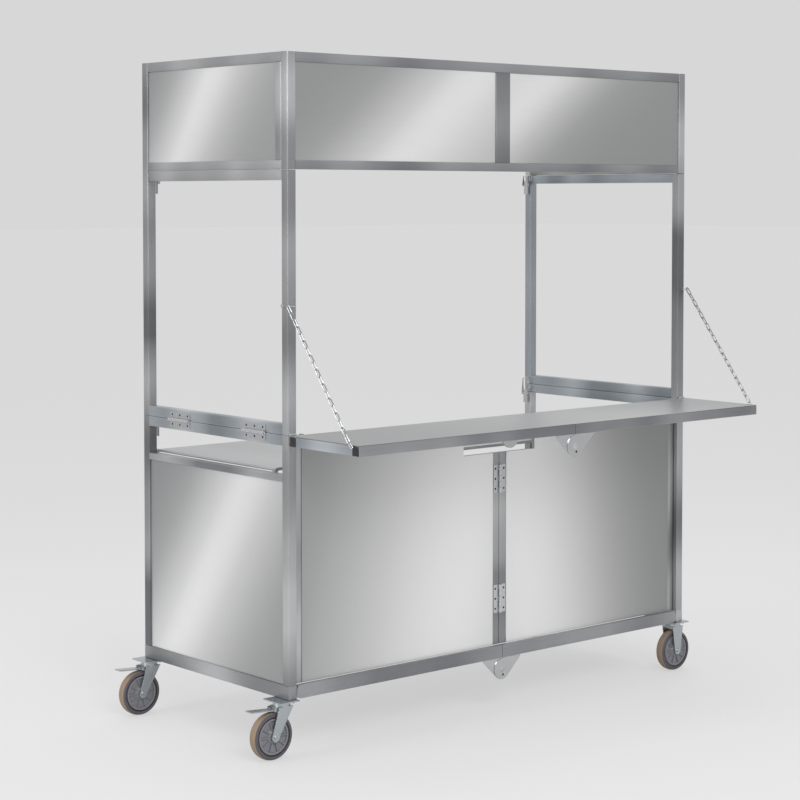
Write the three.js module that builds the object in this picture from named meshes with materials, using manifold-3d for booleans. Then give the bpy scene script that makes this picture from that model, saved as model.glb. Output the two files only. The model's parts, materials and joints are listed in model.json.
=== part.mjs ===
// A folding food stall cart on casters, in millimetres, +Z up.
// While it is built, x runs from the left end, y from the front faces of the posts to the rear,
// and z up from the underside of the bottom rails. The last lines move the origin to the middle
// of the footprint on the floor.
import * as THREE from 'three';
import { mergeVertices } from 'three/addons/utils/BufferGeometryUtils.js';
import Module from 'manifold-3d';

const wasm = await Module();
wasm.setup();

// Driving dimensions of the stall.
const stallLength = 1600;
const stallDepth = 700;
const stallHeight = 1760;
const casterHeight = 160;
const tube = 28;
const touchGap = 0.3;
const overrun = 2;

// Heights of the end frames.
const bottomRailHeight = 38;
const counterTop = 613;
const counterRailHeight = 19;
const lowerFrameTop = 723;
const stackRailHeight = 29.5;
const canopyUnderside = 1443;
const foldClearance = 1.5;
const upperTopRailHeight = 28;

// The fold of the base: every linkage has its end pivots at endPivotX from its end
// and its centre pivot pivotOffset further out, so that all of them close together.
const endPivotX = 45;
const endPivotBelowTop = 14;
const discPivotDrop = 34;
const pivotOffset = bottomRailHeight - endPivotBelowTop + discPivotDrop;

// Shared running clearances.
const runningGap = 0.4;
const centreGap = 1.5;

// How deep a welded piece runs into what carries it.
const weld = 1;

const middle = stallLength / 2;

function bare(geometry) {
  geometry.deleteAttribute('normal');
  geometry.deleteAttribute('uv');
  return mergeVertices(geometry);
}

function toSolid(geometry) {
  const vertProperties = new Float32Array(geometry.attributes.position.array);
  const triVerts = new Uint32Array(geometry.index.array);
  return new wasm.Manifold(new wasm.Mesh({ numProp: 3, vertProperties, triVerts }));
}

function fromSolid(solid) {
  const mesh = solid.getMesh();
  const geometry = new THREE.BufferGeometry();
  geometry.setAttribute('position', new THREE.BufferAttribute(new Float32Array(mesh.vertProperties), 3));
  geometry.setIndex(new THREE.BufferAttribute(new Uint32Array(mesh.triVerts), 1));
  return geometry;
}

function join(...pieces) {
  return fromSolid(pieces.map(toSolid).reduce((whole, piece) => whole.add(piece)));
}

function cut(piece, ...tools) {
  return fromSolid(tools.map(toSolid).reduce((whole, tool) => whole.subtract(tool), toSolid(piece)));
}

function box(x0, x1, y0, y1, z0, z1) {
  const geometry = new THREE.BoxGeometry(x1 - x0, y1 - y0, z1 - z0);
  return bare(geometry.translate((x0 + x1) / 2, (y0 + y1) / 2, (z0 + z1) / 2));
}

function rodX(x0, x1, y, z, radius, sides = 16) {
  const geometry = new THREE.CylinderGeometry(radius, radius, x1 - x0, sides);
  return bare(geometry.rotateZ(Math.PI / 2).translate((x0 + x1) / 2, y, z));
}

function rodY(y0, y1, x, z, radius, sides = 16) {
  const geometry = new THREE.CylinderGeometry(radius, radius, y1 - y0, sides);
  return bare(geometry.translate(x, (y0 + y1) / 2, z));
}

function rodZ(z0, z1, x, y, radius, sides = 16) {
  const geometry = new THREE.CylinderGeometry(radius, radius, z1 - z0, sides);
  return bare(geometry.rotateX(Math.PI / 2).translate(x, y, (z0 + z1) / 2));
}

// An outline in x and z, given as [x, z] pairs, pulled from y0 to y1.
function slab(outline, y0, y1) {
  const shape = new THREE.Shape(outline.map(([x, z]) => new THREE.Vector2(x, z)));
  const geometry = new THREE.ExtrudeGeometry(shape, { depth: y1 - y0, bevelEnabled: false });
  return bare(geometry.rotateX(Math.PI / 2).translate(0, y1, 0));
}

function turned(geometry) {
  const index = geometry.index.array;
  for (let i = 0; i < index.length; i += 3) {
    [index[i + 1], index[i + 2]] = [index[i + 2], index[i + 1]];
  }
  return geometry;
}

// The same piece at the right end of the stall.
function toRight(geometry) {
  return turned(geometry.clone().scale(-1, 1, 1).translate(stallLength, 0, 0));
}

// The same piece at the rear of the stall.
function toRear(geometry) {
  return turned(geometry.clone().scale(1, -1, 1).translate(0, stallDepth, 0));
}

const finishes = {
  frameTube: { color: 0x8f9194, roughness: 0.35, metalness: 1 },
  sheet: { color: 0xc4c6c8, roughness: 0.32, metalness: 1 },
  zinc: { color: 0xb9c2c8, roughness: 0.3, metalness: 1 },
  bright: { color: 0xd6d6d6, roughness: 0.18, metalness: 1 },
  plug: { color: 0x141414, roughness: 0.55, metalness: 0 },
  tyre: { color: 0x6f655a, roughness: 0.8, metalness: 0 },
  hub: { color: 0x9aa0a3, roughness: 0.5, metalness: 0 },
};

const cart = new THREE.Group();

function add(name, geometry, finish) {
  const shown = geometry.toNonIndexed();
  shown.computeVertexNormals();
  const mesh = new THREE.Mesh(shown, new THREE.MeshStandardMaterial(finishes[finish]));
  mesh.name = name;
  cart.add(mesh);
}

// Lower end frame: two posts, the bottom rail, the counter rail and the lower stacked rail.
const frontPost = [0, tube, 0, tube];
const rearPost = [0, tube, stallDepth - tube, stallDepth];

function lowerFrame() {
  const rail = (z0, z1) => box(0, tube, tube - overrun, stallDepth - tube + overrun, z0, z1);
  return join(
    box(...frontPost, 0, lowerFrameTop),
    box(...rearPost, 0, lowerFrameTop),
    rail(0, bottomRailHeight),
    rail(counterTop - counterRailHeight, counterTop),
    rail(lowerFrameTop - stackRailHeight, lowerFrameTop),
  );
}

// Sheet that fills the lower end frame.
const panelThickness = 2;
const panelInset = 5;

function lowerPanel() {
  return box(
    panelInset, panelInset + panelThickness,
    tube + touchGap, stallDepth - tube - touchGap,
    bottomRailHeight + touchGap, counterTop - counterRailHeight - touchGap,
  );
}

// Upper end frame, which folds outward over the lower one.
const stackGap = 0.3;
const upperFrameBottom = lowerFrameTop + stackGap;
const upperFrameTop = canopyUnderside - foldClearance;

function upperFrame() {
  const rail = (z0, z1) => box(0, tube, tube - overrun, stallDepth - tube + overrun, z0, z1);
  return join(
    box(...frontPost, upperFrameBottom, upperFrameTop),
    box(...rearPost, upperFrameBottom, upperFrameTop),
    rail(upperFrameBottom, upperFrameBottom + stackRailHeight),
    rail(upperFrameTop - upperTopRailHeight, upperFrameTop),
  );
}

// Butt hinges on the outer faces of the stacked rails.
const endHingeLength = 98;
const endHingePlate = 2;
const endHingeLeafHeight = 22;
const endHingeKnuckleRadius = 5.5;
const endHingePinX = -(endHingeKnuckleRadius + 0.5 * touchGap + 0.35);
const endHingeCentres = [150, 510];
const knuckleCount = 5;
const splitHeight = lowerFrameTop + stackGap / 2;

function endHingeLeaf(centre, up) {
  const pitch = endHingeLength / knuckleCount;
  const start = centre - endHingeLength / 2;
  const near = endHingeKnuckleRadius + runningGap;
  const z0 = up ? splitHeight + near : splitHeight - endHingeLeafHeight;
  const z1 = up ? splitHeight + endHingeLeafHeight : splitHeight - near;
  const parts = [box(-endHingePlate, weld, start, start + endHingeLength, z0, z1)];
  for (let i = up ? 1 : 0; i < knuckleCount; i += 2) {
    const y0 = start + i * pitch + (i ? runningGap / 2 : 0);
    const y1 = start + (i + 1) * pitch - (i < knuckleCount - 1 ? runningGap / 2 : 0);
    parts.push(rodY(y0, y1, endHingePinX, splitHeight, endHingeKnuckleRadius, 12));
    const web0 = up ? upperFrameBottom : z1 - overrun;
    const web1 = up ? z0 + overrun : lowerFrameTop;
    parts.push(box(-endHingePlate, weld, y0, y1, web0, web1));
  }
  return join(...parts);
}

function endHingeLeaves(up) {
  return endHingeCentres.map((centre) => endHingeLeaf(centre, up));
}

// Toggle latches on the inner faces of the rear posts: one base, lever, loop and keeper each.
const latchWidth = 20;
const latchPlate = 2;
const latchY = stallDepth - tube / 2;
const latchPivotX = tube + 8;
const latchPivotDrop = 24;
const latchLeverLength = 40;
const latchLeverPlate = 2;
const latchHookOffset = 7;
const latchPinRadius = 2;
const latchBaseHeight = 34;
const lowerLoopRise = 20;
const upperLoopRise = -1;
const latchWire = 2.4;
const latchCheek = 1.6;
const latchStand = 9.5;
const keeperHeight = 24;

function latchBase(split) {
  const x0 = tube - weld;
  const z0 = split - latchPivotDrop - latchBaseHeight / 2;
  const half = latchWidth / 2;
  const cheek = (y) => box(
    x0, latchPivotX + latchPinRadius + latchPlate, y, y + latchCheek,
    split - latchPivotDrop - latchPinRadius - latchPlate, split - latchPivotDrop + latchPinRadius + latchPlate,
  );
  return join(
    box(x0, tube + latchPlate, latchY - half, latchY + half, z0, z0 + latchBaseHeight),
    cheek(latchY - half),
    cheek(latchY + half - latchCheek),
    rodY(latchY - half, latchY + half, latchPivotX, split - latchPivotDrop, latchPinRadius, 10),
  );
}

// The lever hangs down from its pin, and carries a cross bar that the loop turns on.
function latchLever(split) {
  const pivotZ = split - latchPivotDrop;
  const inner = latchWidth / 2 - latchCheek - runningGap;
  const eye = rodY(latchY - inner, latchY + inner, latchPivotX, pivotZ, latchPinRadius + latchPlate, 14);
  const bore = rodY(
    latchY - inner - overrun, latchY + inner + overrun, latchPivotX, pivotZ, latchPinRadius + runningGap, 14,
  );
  const x1 = latchPivotX + latchPinRadius + latchPlate;
  const arm = box(
    x1 - latchLeverPlate, x1, latchY - inner, latchY + inner, pivotZ - latchLeverLength, pivotZ,
  );
  const barZ = pivotZ - latchHookOffset;
  const bar = rodY(latchY - latchWidth / 2 - latchWire - runningGap, latchY + latchWidth / 2 + latchWire + runningGap,
    x1, barZ, latchPinRadius, 10);
  return cut(join(eye, arm, bar), bore);
}

// The loop is a wire frame from the lever's cross bar up to a height given from the split.
function latchLoop(split, rise) {
  const pivotZ = split - latchPivotDrop;
  const barX = latchPivotX + latchPinRadius + latchPlate;
  const barZ = pivotZ - latchHookOffset;
  const topX = tube + latchStand;
  const topZ = split + rise;
  const sideY = latchWidth / 2 + runningGap;
  const side = (y0) => {
    const outline = [
      [barX + latchPinRadius + latchWire, barZ - latchPinRadius - latchWire],
      [barX + latchPinRadius + latchWire, barZ + latchPinRadius],
      [topX + latchWire, topZ],
      [topX, topZ],
      [topX, split - latchHookOffset],
      [barX - latchPinRadius - latchWire, barZ + latchPinRadius + latchWire],
      [barX - latchPinRadius - latchWire, barZ - latchPinRadius - latchWire],
    ];
    return cut(
      slab(outline, y0, y0 + latchWire),
      rodY(y0 - overrun, y0 + latchWire + overrun, barX, barZ, latchPinRadius + runningGap, 12),
    );
  };
  return join(
    side(latchY + sideY),
    side(latchY - sideY - latchWire),
    box(topX, topX + latchWire, latchY - sideY - latchWire, latchY + sideY + latchWire, topZ - latchWire, topZ),
  );
}

function latchKeeper(z0) {
  const half = latchWidth / 2;
  return box(tube - weld, tube + latchPlate, latchY - half, latchY + half, z0, z0 + keeperHeight);
}

// Chain stays: an eye on the upper front post, the links, and an eye on the shelf's side tube.
const linkWire = 2.8;
const linkWidth = 10.4;
const linkBite = 0.5;
const linkPitch = 25;
const chainX = endHingePinX;
const chainTopY = -9;
const chainTopZ = 1073;
const chainFootY = -268;
const chainFootRise = 4.5;
const chainEyeRadius = 5;
const chainEyeWire = 2;

// A closed loop of round wire, in the plane of along and across, about a centre.
function linkRing(centre, along, across, innerLength, outerWidth, wire, sides = 5, arcSteps = 3) {
  const normal = along.clone().cross(across);
  const bend = (outerWidth - wire) / 2;
  const straight = (innerLength + wire) / 2 - bend;
  const path = [];
  for (const end of [1, -1]) {
    for (let i = 0; i <= arcSteps; i += 1) {
      const angle = (i / arcSteps - 0.5) * Math.PI;
      const out = along.clone().multiplyScalar(Math.cos(angle) * end)
        .addScaledVector(across, Math.sin(angle) * end);
      const point = centre.clone().addScaledVector(along, straight * end).addScaledVector(out, bend);
      path.push({ point, out });
    }
  }
  const positions = [];
  const index = [];
  const count = path.length;
  path.forEach(({ point, out }, i) => {
    for (let k = 0; k < sides; k += 1) {
      const angle = (k / sides) * 2 * Math.PI;
      const vertex = point.clone()
        .addScaledVector(out, Math.cos(angle) * wire / 2)
        .addScaledVector(normal, Math.sin(angle) * wire / 2);
      positions.push(vertex.x, vertex.y, vertex.z);
      const here = i * sides + k;
      const next = i * sides + ((k + 1) % sides);
      const ahead = ((i + 1) % count) * sides + k;
      const aheadNext = ((i + 1) % count) * sides + ((k + 1) % sides);
      index.push(here, next, ahead, next, aheadNext, ahead);
    }
  });
  const geometry = new THREE.BufferGeometry();
  geometry.setAttribute('position', new THREE.Float32BufferAttribute(positions, 3));
  geometry.setIndex(new THREE.BufferAttribute(new Uint32Array(index), 1));
  return toSolid(geometry).volume() > 0 ? geometry : turned(geometry);
}

// Shelf sizes, needed by the chain.
const shelfTop = 722;
const shelfReach = 300;
const shelfPlate = 1.5;

function chainTop() {
  return new THREE.Vector3(chainX, chainTopY, chainTopZ);
}

function chainFoot() {
  return new THREE.Vector3(chainX, chainFootY, shelfTop + chainFootRise);
}

function chain() {
  const top = chainTop();
  const foot = chainFoot();
  const along = foot.clone().sub(top).normalize();
  const sideways = new THREE.Vector3(1, 0, 0);
  const upward = along.clone().cross(sideways);
  const start = chainEyeWire + touchGap + linkBite / 2;
  const reach = foot.distanceTo(top) + start - linkWire;
  const links = Math.round(reach / linkPitch);
  const pitch = reach / links;
  const rings = [];
  for (let i = 0; i < links; i += 1) {
    const centre = top.clone().addScaledVector(along, (i + 0.5) * pitch - start);
    const across = i % 2 ? sideways : upward;
    rings.push(linkRing(centre, along, across, pitch - linkBite, linkWidth, linkWire));
  }
  return join(...rings);
}

// The upper eye: a stud from the post's front face, ending in a pin that the first link hangs on.
function chainUpperEye() {
  const pinRadius = chainEyeWire;
  return join(
    rodX(chainX - linkWidth / 2, tube / 2 + pinRadius, chainTopY, chainTopZ, pinRadius, 10),
    rodY(chainTopY, weld, tube / 2, chainTopZ, pinRadius, 10),
  );
}

const boltHeadRadius = 6;
const boltHeadHeight = 3.5;
const boltHeadY = 22;

function boltHead() {
  return rodX(-boltHeadHeight, weld, boltHeadY, chainTopZ, boltHeadRadius, 12);
}

// Floor rails: thin rectangular tubes in front of and behind the leaves' path.
const floorRailThickness = 12;
const floorRailEndGap = 0.8;
const endPivotZ = bottomRailHeight - endPivotBelowTop;
const discPivotZ = -discPivotDrop;
const lugThickness = 3;
const lugRadius = 8;
const lugPinRadius = 3;

// The rail's end is round at the top, so that it turns past the post.
function floorRail() {
  const radius = endPivotX - tube - floorRailEndGap;
  const outline = [[middle - centreGap / 2, 0], [middle - centreGap / 2, bottomRailHeight]];
  const arcSteps = 6;
  const topAngle = Math.asin(Math.min(1, endPivotBelowTop / radius));
  for (let i = 0; i <= arcSteps; i += 1) {
    const angle = topAngle - (i / arcSteps) * topAngle;
    outline.push([endPivotX - radius * Math.cos(angle), endPivotZ + radius * Math.sin(angle)]);
  }
  const sweep = bottomRailHeight - endPivotBelowTop;
  const lowAngle = Math.acos(radius / sweep);
  for (let i = 0; i <= arcSteps; i += 1) {
    const angle = lowAngle + (i / arcSteps) * (Math.PI / 2 - lowAngle);
    outline.push([endPivotX - sweep * Math.cos(angle), endPivotZ - sweep * Math.sin(angle)]);
  }
  const boss = rodY(
    floorRailThickness - overrun, floorRailThickness + lugThickness, endPivotX, endPivotZ, lugRadius,
  );
  const pin = rodY(
    floorRailThickness, floorRailThickness + 3 * lugThickness, endPivotX, endPivotZ, lugPinRadius,
  );
  return join(slab(outline, 0, floorRailThickness), boss, pin);
}

// The lug on the end frame that carries the rail's pin.
function floorLug() {
  const y0 = floorRailThickness + lugThickness + runningGap;
  const y1 = y0 + lugThickness;
  return cut(
    join(
      box(tube - weld, endPivotX, y0, y1, endPivotZ - lugRadius, endPivotZ + lugRadius),
      rodY(y0, y1, endPivotX, endPivotZ, lugRadius),
    ),
    rodY(y0 - overrun, y1 + overrun, endPivotX, endPivotZ, lugPinRadius + runningGap / 2),
  );
}

// Disc hinges under the rails: two stamped plates, each with an ear along its own half.
const discRadius = 31;
const discPlate = 2.4;
const discEarReach = 74;
const discEarEdge = 5;
const discPinRadius = 4;
const discNotch = 1;

function discPlateShape(pivotX, pivotZ, top, direction, y0) {
  const outline = [
    [pivotX + direction * discNotch, top],
    [pivotX + direction * discEarReach, top],
    [pivotX + direction * discEarReach, top - discEarEdge],
    [pivotX + direction * discRadius * 0.7, pivotZ - discRadius * 0.7],
    [pivotX, pivotZ],
  ];
  const ordered = direction > 0 ? outline.reverse() : outline;
  return join(slab(ordered, y0, y0 + discPlate), rodY(y0, y0 + discPlate, pivotX, pivotZ, discRadius, 24));
}

function discFrontPlate(pivotX, pivotZ, top, y) {
  const plate = discPlateShape(pivotX, pivotZ, top, 1, y);
  const bore = rodY(y - overrun, y + discPlate + overrun, pivotX, pivotZ, discPinRadius + runningGap / 2, 12);
  return cut(plate, bore);
}

// The rear plate of the pair carries the rivet that the front plate turns on.
function discRearPlate(pivotX, pivotZ, top, y) {
  const y0 = y + discPlate + touchGap;
  const rivet = rodY(y, y0 + discPlate, pivotX, pivotZ, discPinRadius, 12);
  return join(discPlateShape(pivotX, pivotZ, top, -1, y0), rivet);
}

// Front leaves: two stiles and cross bars each, with a sheet inside. Above the counter the free
// end is cut back to a step, because it folds through the rear opening under the floor rails.
const leafRecess = 15;
const leafThickness = tube - leafRecess;
const leafStile = 28;
const leafEdgeGap = 1.5;
const leafTopDrop = 4;
const leafBottomGap = 1.3;
const leafBar = 20;
const leafSheet = 1.5;
const leafKnuckleRadius = 5;
const leafCentrePinY = leafRecess - leafKnuckleRadius - touchGap;
const leafEndPinY = leafCentrePinY + pivotOffset;
const leafBottom = bottomRailHeight + leafBottomGap;
const leafTop = shelfTop - tube - leafTopDrop;
const leafStepTop = counterTop - 1.2;
const leafStepEnd = 655;
const leafX0 = tube + leafEdgeGap;
const leafX1 = middle - centreGap / 2;

function leafFrame() {
  const bar = (x0, x1, z0, z1) => box(x0, x1, leafRecess, leafRecess + leafThickness, z0, z1);
  return join(
    bar(leafX0, leafX0 + leafStile, leafBottom, leafTop),
    bar(leafX1 - leafStile, leafX1, leafBottom, leafStepTop),
    bar(leafX0 + leafStile - overrun, leafX1 - leafStile + overrun, leafBottom, leafBottom + leafBar),
    bar(leafX0 + leafStile - overrun, leafStepEnd, leafTop - leafBar, leafTop),
    bar(leafStepEnd - leafBar, leafStepEnd, leafStepTop - leafBar, leafTop - leafBar + overrun),
    bar(leafStepEnd - leafBar + overrun, leafX1 - leafStile + overrun, leafStepTop - leafBar, leafStepTop),
  );
}

// The sheet lies on the front of the cross bars, between the stiles, and follows the step.
function leafPanel() {
  const y1 = leafRecess - touchGap;
  const x0 = leafX0 + leafStile - leafSheet;
  return join(
    box(x0, leafX1 - leafStile + leafSheet, y1 - leafSheet, y1, leafBottom, leafStepTop),
    box(x0, leafStepEnd, y1 - leafSheet, y1, leafBottom, leafTop),
  );
}

// Offset hinges between the posts and the leaves.
const leafHingeHeights = [120, 480];
const leafHingeLength = 40;
const leafStrap = 4;
const strapInset = 6;

function leafEndHinges(moving) {
  const half = leafHingeLength / 2;
  return leafHingeHeights.map((z) => {
    const z0 = moving ? z + half + runningGap : z;
    const z1 = z0 + half;
    const pin = rodZ(z0, z1, endPivotX, leafEndPinY, leafKnuckleRadius, 14);
    if (moving) {
      const x0 = endPivotX - leafKnuckleRadius / 2;
      return join(pin, box(x0, x0 + leafStrap, tube - weld, leafEndPinY, z0, z1));
    }
    const x1 = tube - touchGap;
    return join(
      pin,
      box(x1 - leafStrap, x1, tube - weld, leafEndPinY + leafStrap / 2, z0, z1),
      box(x1 - leafStrap, endPivotX, leafEndPinY - leafStrap / 2, leafEndPinY + leafStrap / 2, z0, z1),
    );
  });
}

// Butt hinges that join the two leaves on their outer faces.
const centreHingeHeights = [134, 492];
const centreHingeLength = 84;
const centreHingeLeafWidth = 24;
const centreHingePlate = 1.8;

function centreHinges(direction) {
  const pitch = centreHingeLength / knuckleCount;
  return centreHingeHeights.map((start) => {
    const near = leafKnuckleRadius + runningGap;
    const [x0, x1] = [middle + direction * near, middle + direction * centreHingeLeafWidth].sort((a, b) => a - b);
    const y0 = leafRecess - centreHingePlate;
    const y1 = leafRecess + weld;
    const parts = [box(x0, x1, y0, y1, start, start + centreHingeLength)];
    for (let i = direction > 0 ? 1 : 0; i < knuckleCount; i += 2) {
      const z0 = start + i * pitch + (i ? runningGap / 2 : 0);
      const z1 = start + (i + 1) * pitch - (i < knuckleCount - 1 ? runningGap / 2 : 0);
      parts.push(rodZ(z0, z1, middle, leafCentrePinY, leafKnuckleRadius, 12));
      const edge = middle + direction * centreGap / 2;
      const [w0, w1] = [edge, middle + direction * (near + overrun)].sort((a, b) => a - b);
      parts.push(box(w0, w1, y0, y1, z0, z1));
    }
    return join(...parts);
  });
}

// Counter flaps: each turns up on two pins that stand in lugs on the posts.
const flapThickness = 8.6;
const flapPivotX = 36;
const flapPinRadius = 2;
const flapPinReach = 8;
const flapLugDepth = 12;
const flapSideGap = 2;
const flapZ = counterTop + touchGap;
const flapLugFoot = 7;
const flapPivotZ = flapZ + flapThickness / 2;

// The flap starts as far behind the leaf as the leaf stands above it: both turn by the same
// angle, so the flap has risen over the leaf's top where the leaf comes under it.
const flapFront = tube + leafTop - flapZ + 2 * flapSideGap;

function counterFlap() {
  const half = flapThickness / 2;
  const y0 = flapFront;
  const y1 = stallDepth - tube - flapSideGap;
  const hole = (start, end) => rodY(start, end, flapPivotX, flapPivotZ, flapPinRadius + runningGap / 2, 12);
  return cut(
    join(
      box(flapPivotX, middle - centreGap / 2, y0, y1, flapZ, flapZ + flapThickness),
      rodY(y0, y1, flapPivotX, flapPivotZ, half, 16),
    ),
    hole(y0 - overrun, y0 + flapPinReach + overrun),
    hole(y1 - flapPinReach - overrun, y1 + overrun),
  );
}

// A lug in front of y1 that carries a pin of the flap, which starts a side gap behind it.
function flapLug(y1) {
  const half = flapThickness / 2;
  const y0 = y1 - flapLugDepth;
  return join(
    box(tube - weld, flapPivotX, y0, y1, flapPivotZ - half - flapLugFoot, flapPivotZ + half),
    rodY(y0, y1, flapPivotX, flapPivotZ, half, 16),
    rodY(y0, y1 + flapSideGap + flapPinReach, flapPivotX, flapPivotZ, flapPinRadius, 12),
  );
}

// Shelf: front, rear and side tubes with a sheet on top, in two halves.
const shelfRearGap = 6.5;
const shelfSheetBack = 10;
const shelfRear = -shelfRearGap;
const shelfFront = -shelfReach;
const shelfZ0 = shelfTop - tube;

function shelfFrame() {
  const x0 = 0;
  const x1 = middle - centreGap / 2;
  const across = (a, b) => box(a, b, shelfFront + tube - overrun, shelfRear - tube + overrun, shelfZ0, shelfTop);
  return join(
    box(x0, x1, shelfFront, shelfFront + tube, shelfZ0, shelfTop),
    box(x0, x1, shelfRear - tube, shelfRear, shelfZ0, shelfTop),
    across(x0, x0 + tube),
    across(x1 - tube, x1),
  );
}

function shelfSheet() {
  return box(
    0, middle - centreGap / 2, shelfFront, -shelfSheetBack,
    shelfTop + touchGap, shelfTop + touchGap + shelfPlate,
  );
}

// The lower chain eye stands out of the side tube's outer face.
const lowerEyeY = chainFootY - 9;
const lowerEyeZ = shelfTop - 4;

function chainLowerEye() {
  const ring = linkRing(
    new THREE.Vector3(chainX, lowerEyeY, lowerEyeZ),
    new THREE.Vector3(0, 0, 1), new THREE.Vector3(0, 1, 0),
    2 * (chainEyeRadius - chainEyeWire), 2 * chainEyeRadius, chainEyeWire,
  );
  const stem = rodX(
    chainX, weld, lowerEyeY, lowerEyeZ - chainEyeRadius + chainEyeWire / 2, chainEyeWire / 2, 8,
  );
  return join(ring, stem);
}

// Shelf hangers: each turns on a pin in a lug of the front post, and carries the shelf's hinge.
const shelfDiscZ = shelfZ0 - discPivotDrop;
const hangerZ = shelfDiscZ + pivotOffset;
const hangerPlate = 3;
const hangerHeight = 18;
const hangerDrop = 2;
const hangerLugY = 2;
const shelfHingeY = -3.6;
const shelfHingeZ = shelfTop + 3.4;
const shelfKnuckleRadius = 3;
const shelfKnuckleStart = 2;
const shelfKnuckleSplit = 12;
const shelfKnuckleEnd = 24;
const shelfLeafReach = 3;
const shelfLeafRise = 1.5;

function shelfHanger() {
  const y0 = shelfHingeY - hangerPlate / 2;
  const y1 = shelfHingeY + hangerPlate / 2;
  const z1 = shelfTop - hangerDrop;
  const pinEnd = hangerLugY + lugThickness;
  return join(
    box(shelfKnuckleStart, endPivotX, y0, y1, z1 - hangerHeight, z1),
    box(shelfKnuckleStart, shelfKnuckleSplit, y0, y1, z1 - overrun, shelfHingeZ),
    rodX(shelfKnuckleStart, shelfKnuckleSplit, shelfHingeY, shelfHingeZ, shelfKnuckleRadius, 12),
    rodY(y0, y1, endPivotX, hangerZ, lugRadius),
    rodY(y0, pinEnd, endPivotX, hangerZ, lugPinRadius),
  );
}

function shelfLug() {
  const y0 = hangerLugY;
  const y1 = y0 + lugThickness;
  return cut(
    join(
      box(tube - weld, endPivotX, y0, y1, hangerZ - lugRadius, lowerFrameTop),
      rodY(y0, y1, endPivotX, hangerZ, lugRadius),
    ),
    rodY(y0 - overrun, y1 + overrun, endPivotX, hangerZ, lugPinRadius + runningGap / 2),
  );
}

function shelfHingeLeaf() {
  const x0 = shelfKnuckleSplit + runningGap;
  return join(
    box(x0, shelfKnuckleEnd, shelfRear - shelfLeafReach, shelfHingeY, shelfTop - weld, shelfTop + shelfLeafRise),
    rodX(x0, shelfKnuckleEnd, shelfHingeY, shelfHingeZ, shelfKnuckleRadius, 12),
  );
}

// Canopy: a box frame with sheets on the front, the ends and the roof, open below and behind.
const canopyBottomRail = 25;
const canopyTopRail = 28;
const canopyStripWidth = 56;
const canopyStile = 28;
const canopySheet = 2;
const canopySheetInset = 4;
const roofInset = 6;
const seatWidth = 4;

function canopyFrame() {
  const z0 = canopyUnderside;
  const z1 = stallHeight;
  const posts = [[0, 0], [0, stallDepth - tube], [stallLength - tube, 0], [stallLength - tube, stallDepth - tube]];
  const parts = posts.map(([x, y]) => box(x, x + tube, y, y + tube, z0, z1));
  const inner = tube - overrun;
  const endRail = (x, low, high) => box(x, x + tube, inner, stallDepth - inner, low, high);
  const longRail = (y, low, high) => box(inner, stallLength - inner, y, y + tube, low, high);
  for (const x of [0, stallLength - tube]) {
    parts.push(endRail(x, z0, z0 + canopyBottomRail), endRail(x, z1 - canopyTopRail, z1));
    parts.push(box(x, x + tube, inner, tube + canopyStile, z0, z1));
  }
  parts.push(longRail(0, z0, z0 + canopyBottomRail), longRail(0, z1 - canopyTopRail, z1));
  parts.push(longRail(stallDepth - tube, z1 - canopyTopRail, z1));
  const half = canopyStripWidth / 2;
  parts.push(box(middle - half, middle + half, 0, tube, z0, z1));
  const seat = box(0, seatWidth, 0, tube, upperFrameTop + touchGap, z0 + weld);
  const seats = [seat, toRear(seat)];
  parts.push(...seats, ...seats.map(toRight));
  const keeper = latchKeeper(z0 + touchGap);
  parts.push(keeper, toRight(keeper));
  return join(...parts);
}

const sheetZ0 = canopyUnderside + canopyBottomRail + touchGap;
const sheetZ1 = stallHeight - canopyTopRail - touchGap;

function canopyFrontPanel() {
  const half = canopyStripWidth / 2;
  const y0 = canopySheetInset;
  return box(tube + touchGap, middle - half - touchGap, y0, y0 + canopySheet, sheetZ0, sheetZ1);
}

function canopyEndPanel() {
  const x0 = canopySheetInset;
  return box(
    x0, x0 + canopySheet, tube + canopyStile + touchGap, stallDepth - tube - touchGap, sheetZ0, sheetZ1,
  );
}

function canopyRoof() {
  return box(
    tube + touchGap, stallLength - tube - touchGap, tube + touchGap, stallDepth - tube - touchGap,
    stallHeight - roofInset - canopySheet, stallHeight - roofInset,
  );
}

// Casters: a top plate, a race, a fork, and a wheel with a separate tyre.
const wheelRadius = 65;
const wheelWidth = 32;
const tyreDepth = 15;
const casterPlate = 3.5;
const casterPlateX = 66;
const casterPlateY = 80;
const casterTrail = 36;
const leftCasterX = -4;
const rightCasterX = stallLength - 13;
const casterY = 28;
const raceHeight = 12;
const raceRadius = 30;
const forkSheet = 3;
const forkGap = 4;
const axleRadius = 6;
const axleZ = wheelRadius - casterHeight;
const boltSpacingX = 40;
const boltSpacingY = 54;
const boltRadius = 3.5;
const boltHeight = 5;

function casterTop(x, y) {
  const z1 = -touchGap;
  const z0 = z1 - casterPlate;
  const bolts = [];
  for (const dx of [-1, 1]) {
    for (const dy of [-1, 1]) {
      bolts.push(rodZ(z0 - boltHeight, z0 + overrun / 2, x + dx * boltSpacingX / 2,
        y + dy * boltSpacingY / 2, boltRadius, 6));
    }
  }
  return join(
    box(x - casterPlateX / 2, x + casterPlateX / 2, y - casterPlateY / 2, y + casterPlateY / 2, z0, z1),
    ...bolts,
  );
}

// Brake pedal: a plate over the wheel that rocks between two ears of the fork.
const pedalPlate = 3;
const pedalWidth = 28;
const pedalReach = 112;
const pedalRise = 8;
const pedalPinX = -30;
const pedalPinZ = -24;
const pedalPinRadius = 3;
const pedalTail = 6;
const earReach = 6;
const earInner = 22;

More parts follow.
